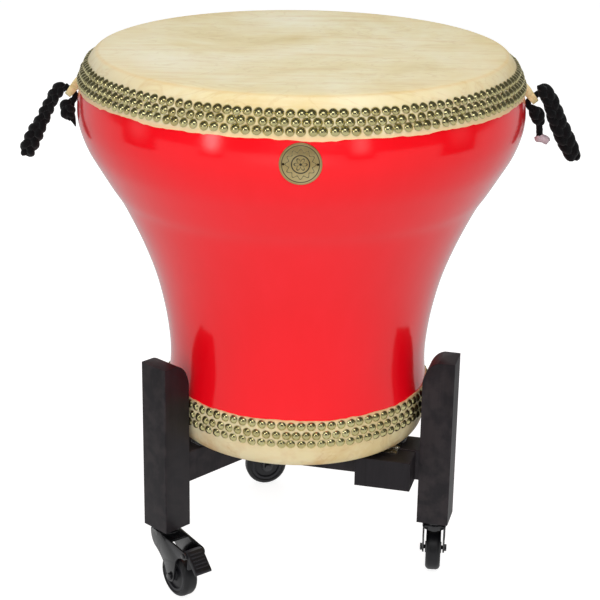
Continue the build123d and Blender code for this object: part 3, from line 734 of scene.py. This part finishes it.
def shell_radius(z):
    return np.interp(z, BADGE_WALL[:, 1], BADGE_WALL[:, 0])


def line_ink(offset, half, soft):
    """1 within `half` of a line, falling to 0 over `soft`."""
    return np.clip(1 - (np.abs(offset) - half) / soft, 0, 1)


def badge_ink(r, a):
    """Engraved lines: two rings, a six-petal rosette, a centre dot and a scalloped border."""
    ink = np.maximum(line_ink(r - 22.2, half=0.40, soft=0.22),
                     line_ink(r - 10.6, half=0.60, soft=0.22))
    petal = 2.6 + 5.0 * np.abs(np.cos(3 * a))
    ink = np.maximum(ink, line_ink(r - petal, half=0.50, soft=0.25) * (r < 9.0))
    ink = np.maximum(ink, np.clip(1 - (r - 1.5) / 0.3, 0, 1))
    scallop = 16.3 + 1.9 * np.cos(12 * a)
    return np.maximum(ink, line_ink(r - scallop, half=0.30, soft=0.25))


def add_badge():
    """Round plate curved to the front of the shell, with sunk lines and a raised rim."""
    count = 288
    angles = circle(count)
    verts, ink = [], []

    def add_ring(r, lift, ring_ink):
        x, z = r * np.cos(angles), BADGE_Z + r * np.sin(angles)
        out = shell_radius(z) + lift
        verts.append(np.stack([x, -np.sqrt(out ** 2 - x ** 2), z], 1))
        ink.append(ring_ink)

    for r in np.concatenate([np.arange(0.35, 25.0, 0.22), [25.1, 25.35, BADGE_R]]):
        lines = badge_ink(np.full(count, r), angles)
        lift = 1.22 - 0.20 * lines + 0.14 * math.exp(-((r - 24.3) / 0.5) ** 2)
        if r > 25.0:
            lift = lift - (r - 25.0) ** 2 * 1.2
        add_ring(r, lift, lines)
    # back of the plate
    for r, lift in ((BADGE_R, 0.06), (18, 0.04), (8, 0.04)):
        add_ring(r, lift, np.zeros(count))
    rings = len(verts)
    middle = shell_radius(BADGE_Z)
    verts.append([[0, -(middle + 1.02), BADGE_Z], [0, -(middle + 0.04), BADGE_Z]])
    ink.append([1.0, 0.0])
    add_piece("badge", np.vstack(verts), ring_faces(rings, count) + end_fans(rings, count),
              "badge_brass", sharp=50, part="badge_plate", slot="badge_brass",
              attributes={"ink": np.concatenate(ink)})


add_badge()

# ------------------------------------------------------------------ ropes and straps
# Both sides are drawn at +X in the plane y = 0; the left one is then turned half round Z.
HALF_TURN = np.array([-1, -1, 1])
EYE = np.array([306.0, 670.5])  # (x, z) of the middle of the strap's loop
EYE_DIR = np.array([0.769135, 0.639086])  # (x, z) of the loop's axis, outward and up

# Stations along the ropes: (x, z, rope radius)
LEFT_PLAIT = [
    (313.5, 676.2, 6.2), (318.0, 675.0, 8.2), (323.0, 671.0, 9.2), (328.5, 663.5, 9.0),
    (333.0, 655.5, 8.6), (337.5, 647.0, 9.2), (342.0, 638.0, 9.3), (346.0, 629.0, 9.8),
    (351.0, 620.5, 10.8), (355.5, 612.0, 11.8), (359.5, 603.5, 12.0), (363.3, 595.5, 11.9),
    (367.0, 587.5, 11.0), (369.3, 580.5, 9.5)]
LEFT_SHORT_PLAIT = [
    (302.4, 659.5, 3.8), (305.6, 655.6, 5.4), (311.0, 650.0, 10.2), (311.6, 644.0, 10.8),
    (309.4, 637.0, 9.0), (306.6, 631.0, 5.4)]
LEFT_TAIL = [(308.6, 642.0, 6.4), (305.4, 634.0, 4.6), (302.6, 626.5, 2.2),
             (301.2, 621.4, 0.7)]
RIGHT_PLAIT = [
    (312.6, 681.5, 7.8), (317.6, 681.6, 9.4), (321.5, 679.5, 10.4), (328.0, 671.5, 10.8),
    (332.5, 662.0, 11.0), (335.5, 653.0, 12.0), (339.5, 644.0, 12.0), (343.5, 635.0, 12.4),
    (348.0, 626.0, 12.6), (352.5, 617.0, 12.8), (357.0, 608.5, 12.4), (361.5, 600.0, 11.8),
    (365.0, 592.5, 10.8), (366.8, 586.0, 9.0)]
RIGHT_SHORT_PLAIT = [
    (302.4, 659.5, 3.8), (305.8, 656.0, 5.6), (311.2, 651.2, 9.6), (314.4, 646.0, 9.8),
    (316.6, 639.5, 8.2), (317.0, 633.5, 5.0)]
RIGHT_TAIL = [(315.5, 643.0, 4.8), (317.2, 634.0, 4.4), (318.2, 625.0, 4.5),
              (318.6, 616.0, 4.3)]


def resample(stations, step):
    """Even steps along a smooth line: (x, z) points, radii and lengths from the start."""
    curve = catmull(stations, 12)
    steps = np.linalg.norm(np.diff(curve[:, :2], axis=0), axis=1)
    along = np.concatenate([[0], np.cumsum(steps)])
    even = np.linspace(0, along[-1], max(8, int(along[-1] / step)))
    x, z, radii = (np.interp(even, along, column) for column in curve.T)
    return np.stack([x, z], 1), radii, even


def rounded(distance, reach):
    """Quarter-circle rise from 0 to 1 over `reach`."""
    k = np.clip(distance / reach, 0, 1)
    return np.sqrt(1 - (1 - k) ** 2)


def tube(centres, radii, count, rng, rough):
    """Closed tube along a 3-D line; `rough` is the unevenness as a share of the radius."""
    along = tangents(centres)
    side = np.cross(along, np.array([0.0, 1.0, 0.0]))
    side /= np.maximum(np.linalg.norm(side, axis=1), 1e-9)[:, None]
    other = np.cross(along, side)
    angles = circle(count)
    phase = rng.uniform(0, 6.28, 4)
    verts = []
    for i, centre in enumerate(centres):
        uneven = (np.sin(3 * angles + i * 0.9 + phase[0]) * 0.5
                  + np.sin(5 * angles - i * 1.3 + phase[1]) * 0.4
                  + rng.normal(0, 0.55, count))
        r = radii[i] * (1 + rough * uneven)
        verts.append(centre + (np.cos(angles) * r)[:, None] * side[i]
                     + (np.sin(angles) * r)[:, None] * other[i])
    verts.append([centres[0], centres[-1]])
    rings = len(centres)
    return np.vstack(verts), ring_faces(rings, count) + end_fans(rings, count)


def braid(stations, period, seed, phase, taper=7.0):
    """Three-strand plait round a core, as a list of tubes; `period` is one full weave."""
    rng = np.random.default_rng(seed)
    line, radii, along = resample(stations, step=1.1)
    normal = normals(line)
    ends = np.maximum(rounded(along[-1] - along, taper) * rounded(along, 3.0), 0.06)
    wobble = 0.25 * wave_noise(along * 0.05, seed + 1, octaves=3, base=3.0)
    tubes = []
    for k in range(3):
        angle = 2 * math.pi * along / period + 2 * math.pi * k / 3 + phase + wobble
        uneven = wave_noise(along * 0.1, seed + 5 + k, octaves=3, base=4.0)
        strand = radii * (0.50 + 0.03 * uneven) * ends
        across = (radii - strand * 0.94) * np.sin(angle) * ends
        y = 0.42 * radii * np.sin(2 * angle) * ends
        centres = np.stack([line[:, 0] + normal[:, 0] * across, y,
                            line[:, 1] + normal[:, 1] * across], 1)
        tubes.append(tube(centres, strand, 16, rng, rough=0.035))
    core = np.stack([line[:, 0], np.zeros_like(along), line[:, 1]], 1)
    tubes.append(tube(core, 0.55 * radii * ends, 12, rng, rough=0.02))
    return tubes


def cord(stations, seed, rough):
    """Single cord with rounded ends, as a list of one tube."""
    rng = np.random.default_rng(seed)
    line, radii, along = resample(stations, step=1.0)
    ends = (np.maximum(rounded(along[-1] - along, 1.8), 0.08)
            * np.maximum(rounded(along, 1.8), 0.08))
    centres = np.stack([line[:, 0], 0 * along, line[:, 1]], 1)
    return [tube(centres, radii * ends, 16, rng, rough)]


def eye_cord(start_z, seed):
    """Cord running up from below and out through the strap's loop."""
    return cord([(305.0, start_z, 4.0), (301.8, 659.5, 4.0), (300.6, 665.7, 4.0),
                 (*EYE, 4.3), (*(EYE + 11.5 * EYE_DIR), 4.4)], seed, rough=0.03)


def add_rope(side, tubes):
    verts, faces = join(tubes)
    if side == "left":
        verts = verts * HALF_TURN
    rope = side + "_rope"
    add_piece(rope + "_plait", verts, faces, "rope", body=rope, part=rope, slot="rope")


add_rope("left", braid(LEFT_PLAIT, period=40, seed=31, phase=0.4)
         + eye_cord(start_z=655.5, seed=32)
         + braid(LEFT_SHORT_PLAIT, period=34, seed=33, phase=1.2, taper=5.0)
         + cord(LEFT_TAIL, seed=34, rough=0.03))
add_rope("right", braid(RIGHT_PLAIT, period=42, seed=41, phase=1.9)
         + eye_cord(start_z=656.0, seed=42)
         + braid(RIGHT_SHORT_PLAIT, period=32, seed=43, phase=0.5, taper=4.0)
         + cord(RIGHT_TAIL, seed=44, rough=0.05))


def strap_line(half_thick):
    """Middle line of the folded strap: out along one ply, round the loop, back on the other."""
    loop_r = 6.7
    root, opening = -19.5, -10.5
    ply = []
    for u in np.linspace(root, opening, 9):
        k = (u - root) / (opening - root)
        ply.append((u, half_thick + 0.02 + (loop_r - 0.9 - half_thick) * k ** 1.3))
    line = [(u, -v) for u, v in ply]
    for a in np.linspace(math.radians(218), math.radians(360 + 142), 41):
        line.append((loop_r * math.cos(a) * 1.03, loop_r * math.sin(a)))
    return np.array(line + ply[::-1])


def add_strap(side, index):
    """Rawhide strap, folded into a loop round the rope where it passes the eye."""
    half_thick, half_wide = 1.1, 5.9
    line = strap_line(half_thick)
    normal = normals(line)
    section = []  # rounded rectangle: (across the width, through the thickness)
    for a in circle(36):
        c, s = math.cos(a), math.sin(a)
        section.append((half_wide * np.sign(c) * abs(c) ** 0.30,
                        half_thick * np.sign(s) * abs(s) ** 0.55))
    section = np.array(section)
    cup = 0.10 * (section[:, 0] / half_wide) ** 2
    wobble = 0.3 * wave_noise(np.linspace(0, 1, len(line)) * 6, 61 + index, octaves=3,
                              base=1.0)
    eye = np.array([EYE[0], 0, EYE[1]])
    out_axis = np.array([EYE_DIR[1], 0, -EYE_DIR[0]])
    y_axis = np.array([0, 1.0, 0])
    wide_axis = np.array([EYE_DIR[0], 0, EYE_DIR[1]])
    verts = []
    for point, across, wob in zip(line, normal, wobble):
        # narrower towards the outer end of the loop
        width = 1 + 0.03 * wob - 0.26 * min(1.0, max(0.0, (point[0] + 12.0) / 18.0))
        flat_pos = point + across * (section[:, 1] + cup + 0.05 * wob)[:, None]
        height = section[:, 0] * width + 0.18 * wob + 0.25 * (index - 0.5)
        verts.append(eye + flat_pos[:, :1] * out_axis + flat_pos[:, 1:2] * y_axis
                     + height[:, None] * wide_axis)
    verts = np.vstack(verts)
    if side == "left":
        verts = verts * HALF_TURN
    size = len(line), len(section)
    add_piece(side + "_strap", verts, ring_faces(*size) + end_polygons(*size),
              "tab_rawhide", sharp=60, part=side + "_rope_tab", slot="tab_rawhide")


for strap_index, strap_side in enumerate(("left", "right")):
    add_strap(strap_side, strap_index)

# ------------------------------------------------------------------ felt pads
PAD_HALF_LONG, PAD_HALF_WIDE, PAD_CORNER = 25, 11, 4
PAD_BASE_Z, PAD_TOP_Z = 203.02, 206.88
PAD_CENTRE = (140.0, -33.0)  # before turning to each azimuth
PAD_AZIMUTHS = (-14.0, -134.0, 106.0)
# Outlines up the pad: (z, distance drawn in)
PAD_LAYERS = [(PAD_BASE_Z, 0.6), (PAD_BASE_Z + 0.25, 0.12), (PAD_BASE_Z + 1.2, 0.0),
              (PAD_TOP_Z - 1.1, 0.0), (PAD_TOP_Z - 0.45, 0.35), (PAD_TOP_Z - 0.16, 1.2),
              (PAD_TOP_Z - 0.06, 3.0), (PAD_TOP_Z, 6.0)]


def pad_outline():
    """Rounded rectangle with its long edges cut into short steps."""
    far_x, far_y = PAD_HALF_LONG - PAD_CORNER, PAD_HALF_WIDE - PAD_CORNER
    corners = ((far_x, far_y, 0), (-far_x, far_y, 90), (-far_x, -far_y, 180),
               (far_x, -far_y, 270))
    arcs = []
    for x, y, start in corners:
        for a in np.linspace(start, start + 90, 9):
            arcs.append(np.array([x + PAD_CORNER * math.cos(math.radians(a)),
                                  y + PAD_CORNER * math.sin(math.radians(a))]))
    outline = []
    for i, p in enumerate(arcs):
        q = arcs[(i + 1) % len(arcs)]
        steps = max(1, int(np.linalg.norm(q - p) / 1.6))
        outline += [p + (q - p) * j / steps for j in range(steps)]
    return np.array(outline)


def add_felt_pads():
    """Three soft pads with crowned tops under the foot of the drum."""
    rng = np.random.default_rng(77)
    outline = pad_outline()
    size = len(PAD_LAYERS), len(outline)
    faces = [(f[0], *f[:0:-1]) for f in ring_faces(*size) + end_fans(*size)]
    pads = []
    for azimuth in PAD_AZIMUTHS:
        c, s = math.cos(math.radians(azimuth)), math.sin(math.radians(azimuth))
        layers = []
        for z, drawn in PAD_LAYERS:
            shrink = np.array([(PAD_HALF_LONG - drawn) / PAD_HALF_LONG,
                               (PAD_HALF_WIDE - min(drawn, 8.5)) / PAD_HALF_WIDE])
            ring = outline * shrink + rng.normal(0, 0.035, outline.shape) * (drawn < 3)
            heights = np.full(len(outline), z)
            if z > PAD_BASE_Z + 0.3:
                heights = heights + rng.normal(0, 0.03, len(outline))
            layers.append(np.column_stack([ring, np.minimum(heights, PAD_TOP_Z)]))
        p = np.vstack(layers + [np.array([[0, 0, PAD_BASE_Z], [0, 0, PAD_TOP_Z]])])
        x, y = p[:, 0] + PAD_CENTRE[0], p[:, 1] + PAD_CENTRE[1]
        pads.append((np.column_stack([x * c - y * s, x * s + y * c, p[:, 2]]), faces))
    add_piece("felt_rests", *join(pads), "felt", sharp=70, part="felt_pads", slot="felt",
              body=NODES["felt_pads"].get("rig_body"))


add_felt_pads()


# ------------------------------------------------------------------ tape on the right rope
def add_tape():
    """Lumpy sleeve in four stepped turns, lying outward across the end of the thin tail."""
    count, rings = 32, 30
    start_x, length = 313.2, 18.6
    start_z, fall = 617.4, 5.0
    half_high, half_deep = 5.6, 5.2
    angles = circle(count)
    verts = []
    for i in range(rings):
        u = i / (rings - 1)
        ends = max(0.08, (1 - abs(2 * u - 1) ** 5) ** 0.5)
        step = 0.35 * ((u * 4.0) % 1.0)
        z = start_z - fall * u + 0.6 * math.sin(u * 5)
        high = (half_high + step + 0.4 * math.sin(u * 8)) * ends
        deep = (half_deep + step) * ends
        lump = 1 + 0.05 * np.sin(3 * angles + u * 6) + 0.03 * np.sin(5 * angles - u * 9)
        verts.append(np.stack([start_x + length * u + 1.6 * np.sin(angles),
                               deep * np.cos(angles) * lump,
                               z + high * np.sin(angles) * lump], 1))
    add_piece("right_rope_tape", np.vstack(verts),
              ring_faces(rings, count) + end_polygons(rings, count), "tie_tape", sharp=55,
              body="right_rope", part="right_rope_end_tie", slot="tie_tape")


add_tape()

# ------------------------------------------------------------------ CAD pieces kept as they are
# Slots whose finish has another name
CAD_FINISH = {"beech": "bare_wood", "badge_brass": "pin_dark", "rawhide": "rawhide_top"}
# Width of the softened edges for each slot, in metres
BEVEL = {"black_wood": 0.0018, "black_steel": 0.0006, "brake_plastic": 0.0005,
         "wheel_plastic": 0.0004, "tyre_rubber": 0.0005, "tab_rawhide": 0.0004,
         "steel": 0.0002, "bright_steel": 0.0002}


def soften_edges(ob, width):
    weld = ob.modifiers.new("weld", "WELD")
    weld.merge_threshold = 0.000002
    bevel = ob.modifiers.new("soft", "BEVEL")
    bevel.width = width
    bevel.segments = 2
    bevel.limit_method = "ANGLE"
    bevel.angle_limit = math.radians(38)
    bevel.harden_normals = True
    bevel.use_clamp_overlap = True


def finish_cad_pieces():
    slots = {p["node"]: p["material_slot"] for p in frame["record"]["subparts"]}
    for name, ob in NODES.items():
        if ob.hide_render:
            continue
        slot = slots[name]
        mesh = ob.data
        mesh.materials.clear()
        mesh.materials.append(MATERIALS[CAD_FINISH.get(slot, slot)])
        mesh.polygons.foreach_set("use_smooth", [True] * len(mesh.polygons))
        mesh.set_sharp_from_angle(angle=math.radians(32))
        if slot in BEVEL:
            soften_edges(ob, BEVEL[slot])


finish_cad_pieces()

# ------------------------------------------------------------------ stage
# Glowing panels: name, location, target, width, height, strength
SOFTBOXES = [
    ("stage_strip_left", (-1.55, -1.75, 1.0), (0, 0, 0.5), 0.50, 1.5, 5.5),
    ("stage_strip_right", (1.2, -2.3, 1.05), (0, 0, 0.5), 0.62, 1.5, 2.0),
    ("stage_side_left", (-2.2, -0.3, 0.9), (0, 0, 0.5), 0.9, 1.6, 0.7),
    ("stage_side_right", (2.2, -0.4, 0.9), (0, 0, 0.5), 0.9, 1.6, 0.4),
    ("stage_canopy", (0.0, -1.7, 2.0), (0, 0, 0.55), 2.6, 1.1, 2.7),
]
# Area lights: name, location, target, width, height, watts
AREA_LIGHTS = [
    ("stage_top", (0.1, -0.5, 2.7), (0, 0, 0.6), 2.2, 1.8, 25.76),
    ("stage_front", (0.2, -3.4, 1.6), (0, 0, 0.4), 2.2, 1.4, 42.56),
    ("stage_low", (-0.2, -2.4, 0.35), (0, 0, 0.2), 1.6, 0.5, 8.4),
    ("stage_back", (-0.4, 2.6, 1.4), (0, 0, 0.45), 2.0, 1.4, 13.44),
]


def stage_object(name, data, location, z_axis=None):
    """Link a stage object, with its local Z along z_axis where one is given."""
    ob = bpy.data.objects.new(name, data)
    ob.location = location
    if z_axis:
        ob.rotation_euler = z_axis.to_track_quat("Z", "Y").to_euler()
    scene.collection.objects.link(ob)
    return ob


def rectangle(name, width, height, material):
    x, y = width / 2, height / 2
    mesh = bpy.data.meshes.new(name)
    mesh.from_pydata([(-x, -y, 0), (x, -y, 0), (x, y, 0), (-x, y, 0)], [], [(0, 1, 2, 3)])
    mesh.materials.append(material)
    return mesh


def add_floor():
    """Floor that glows for the camera but still takes shadows; other rays see plain grey."""
    material = bpy.data.materials.new("stage_white")
    tree = empty_tree(material)
    diffuse = add_node(tree, "BsdfDiffuse", {0: (0.5, 0.5, 0.5, 1)})
    glow = add_node(tree, "Emission", {1: 0.82})
    other_rays = add_node(tree, "Emission", {1: 0.58})
    seen = add_node(tree, "AddShader", {0: diffuse.outputs[0], 1: glow.outputs[0]})
    rays = add_node(tree, "LightPath")
    mixed = add_node(tree, "MixShader", {0: rays.outputs["Is Camera Ray"],
                                         1: other_rays.outputs[0], 2: seen.outputs[0]})
    add_node(tree, "OutputMaterial", {"Surface": mixed.outputs[0]})
    stage_object("stage_floor", rectangle("stage_floor", 30.0, 30.0, material),
                 (0, 0, -0.0004))


def set_world():
    """White to the camera, even fill on surfaces, and reflections bright only at the back."""
    world = bpy.data.worlds.new("white")
    scene.world = world
    tree = empty_tree(world)

    def background(color, strength):
        return add_node(tree, "Background", {0: color, 1: strength}).outputs[0]

    def choose(fac, a, b):
        return add_node(tree, "MixShader", {0: fac, 1: a, 2: b}).outputs[0]

    rays = add_node(tree, "LightPath")
    direction = add_node(tree, "TexCoord").outputs["Generated"]
    y = add_node(tree, "SeparateXYZ", {0: direction}).outputs[1]
    # strength rises from 0.08 to 0.60 as the direction turns to +Y
    back = add_node(tree, "MapRange", {0: y, 1: 0.55, 2: 0.95, 3: 0.08, 4: 0.60},
                    interpolation_type="SMOOTHSTEP").outputs[0]
    fill = background((1.0, 0.985, 0.965, 1), 0.38)
    shader = choose(rays.outputs["Is Glossy Ray"], fill, background((1, 1, 1, 1), back))
    shader = choose(rays.outputs["Is Camera Ray"], shader, background((1, 1, 1, 1), 1.0))
    add_node(tree, "OutputWorld", {0: shader})


def add_softbox(name, location, target, width, height, strength):
    """One-sided panel fading to its edges, so that its reflection has no hard outline."""
    mat = Material(name, "Emission")
    x, y, _ = mat.xyz()
    fade_x = mat.remap(mat.math("ABSOLUTE", x), span=(width * 0.5, 0.0), smooth=True)
    fade_y = mat.remap(mat.math("ABSOLUTE", y), span=(height * 0.5, height * 0.1),
                       smooth=True)
    back = mat.node("NewGeometry").outputs["Backfacing"]
    glow = mat.times(mat.times(fade_x, fade_y), mat.math("SUBTRACT", 1.0, back))
    mat.set(Strength=mat.times(glow, strength))
    panel = stage_object(name, rectangle(name, width, height, mat.material), location,
                         (Vector(target) - Vector(location)).normalized())
    panel.visible_camera = False


def add_area_light(name, location, target, width, height, watts):
    light = bpy.data.lights.new(name, "AREA")
    light.shape = "RECTANGLE"
    light.size, light.size_y = width, height
    light.energy = watts
    light.spread = math.radians(180)
    lamp = stage_object(name, light, location, Vector(location) - Vector(target))
    lamp.visible_glossy = False


add_floor()
set_world()
for softbox_row in SOFTBOXES:
    add_softbox(*softbox_row)
for light_row in AREA_LIGHTS:
    add_area_light(*light_row)


# ------------------------------------------------------------------ camera and view
def add_camera():
    """Camera in front of the drum, looking along +Y and down."""
    pitch, roll, yaw = 0.3520, 0.01608, -0.00084  # radians
    position = (0.00025, -2.22259, 1.19613)
    data = bpy.data.cameras.new("camera")
    camera = bpy.data.objects.new("camera", data)
    scene.collection.objects.link(camera)
    scene.camera = camera
    data.sensor_width = 36.0
    data.lens = 102.61
    data.clip_start, data.clip_end = 0.05, 60
    forward = Vector((0, math.cos(pitch), -math.sin(pitch)))
    right = Vector((1, 0, 0))
    up = Vector((0, math.sin(pitch), math.cos(pitch)))
    x_axis = right * math.cos(roll) + up * math.sin(roll)
    y_axis = -right * math.sin(roll) + up * math.cos(roll)
    axes = Matrix((x_axis, y_axis, -forward)).transposed().to_4x4()
    turn = Matrix.Rotation(yaw, 4, "Z") @ axes
    camera.matrix_world = Matrix.Translation(position) @ turn


add_camera()
scene.view_settings.view_transform = "Standard"
scene.view_settings.look = "None"
scene.view_settings.exposure = 0.0
scene.view_settings.gamma = 1.0

# ------------------------------------------------------------------ final update of the view layer
bpy.context.view_layer.update()
